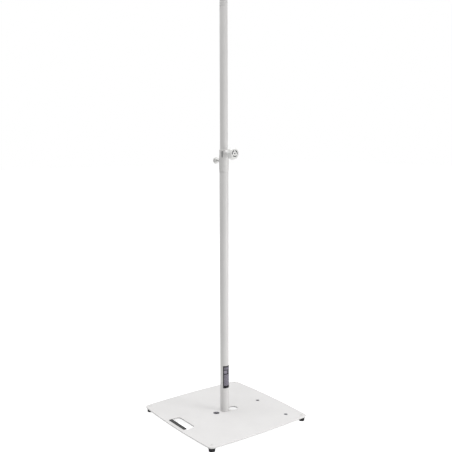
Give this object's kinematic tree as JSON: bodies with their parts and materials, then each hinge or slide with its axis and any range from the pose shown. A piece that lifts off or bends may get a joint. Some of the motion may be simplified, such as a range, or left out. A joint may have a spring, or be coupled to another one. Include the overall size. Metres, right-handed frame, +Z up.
{
  "type": "speaker stand",
  "caption": "White loudspeaker pole stand: bowed square steel base plate on rubber feet, handle slot, and a telescopic round pole with a clamping knob and a locking pin.",
  "frame": {"origin": "on the floor under the pole, at the middle of the feet's undersides", "axes": "+Z up along the pole; the plate's handle slot is at -X, the clamping knob points to -Y and the locking pin to +Y"},
  "size_m": [0.5726, 0.5726, 1.897],
  "materials": {
    "white_powder_coat": "fine-textured satin white powder coat on steel",
    "black_rubber": "matte moulded rubber",
    "white_plastic": "satin moulded nylon",
    "grey_plastic": "satin moulded nylon",
    "black_plastic": "matte moulded acetal",
    "label_film": null,
    "zinc_plated_steel": "bright zinc plate"
  },
  "bodies": {
    "stand": {"base_plate": "white_powder_coat", "handle_grip": "black_rubber", "pole_bush": "zinc_plated_steel", "spare_pole_bush": "zinc_plated_steel", "weight_bush_1": "zinc_plated_steel", "weight_bush_2": "zinc_plated_steel", "rubber_foot_1": "black_rubber", "foot_washer_1": "zinc_plated_steel", "foot_nut_1": "zinc_plated_steel", "foot_screw_1": "white_powder_coat", "rubber_foot_2": "black_rubber", "foot_washer_2": "zinc_plated_steel", "foot_nut_2": "zinc_plated_steel", "foot_screw_2": "white_powder_coat", "rubber_foot_3": "black_rubber", "foot_washer_3": "zinc_plated_steel", "foot_nut_3": "zinc_plated_steel", "foot_screw_3": "white_powder_coat", "rubber_foot_4": "black_rubber", "foot_washer_4": "zinc_plated_steel", "foot_nut_4": "zinc_plated_steel", "foot_screw_4": "white_powder_coat", "pole_stud": "zinc_plated_steel", "stud_plug": "zinc_plated_steel", "lower_tube": "white_powder_coat", "info_label": "label_film", "clamp_collar": "white_powder_coat", "guide_bush": "grey_plastic", "thread_insert": "zinc_plated_steel", "pin_guide": "white_powder_coat", "collar_screw_1": "zinc_plated_steel", "collar_screw_2": "zinc_plated_steel"},
    "clamp_pad": {"pressure_pad": "black_plastic"},
    "knob": {"clamp_screw": "zinc_plated_steel", "knob_body": "white_plastic", "knob_cap": "white_plastic"},
    "lock_pin": {"locking_pin": "zinc_plated_steel", "pin_stop_ring": "zinc_plated_steel", "pin_head": "white_plastic"},
    "mast": {"upper_tube": "white_powder_coat", "top_cap": "white_plastic", "mast_glide": "black_plastic"}
  },
  "joints": [
    {"name": "mast_slide", "type": "slide", "parent": "stand", "child": "mast", "axis": [0, 0, 1], "range_m": [-0.55, 0.25]},
    {"name": "pin_slide", "type": "slide", "parent": "stand", "child": "lock_pin", "axis": [0, 1, 0], "range_m": [-0.012, 0]},
    {"name": "pad_slide", "type": "slide", "parent": "stand", "child": "clamp_pad", "axis": [0, -1, 0], "range_m": [0, 0.0025]},
    {"name": "knob_turn", "type": "hinge", "parent": "clamp_pad", "child": "knob", "pos_m": [0, -0.05, 1.233], "axis": [0, -1, 0], "range_deg": [0, 720]}
  ],
  "couplings": [
    {"joint": "knob_turn", "follows": "pad_slide", "rad_per_m": 5026.5}
  ]
}
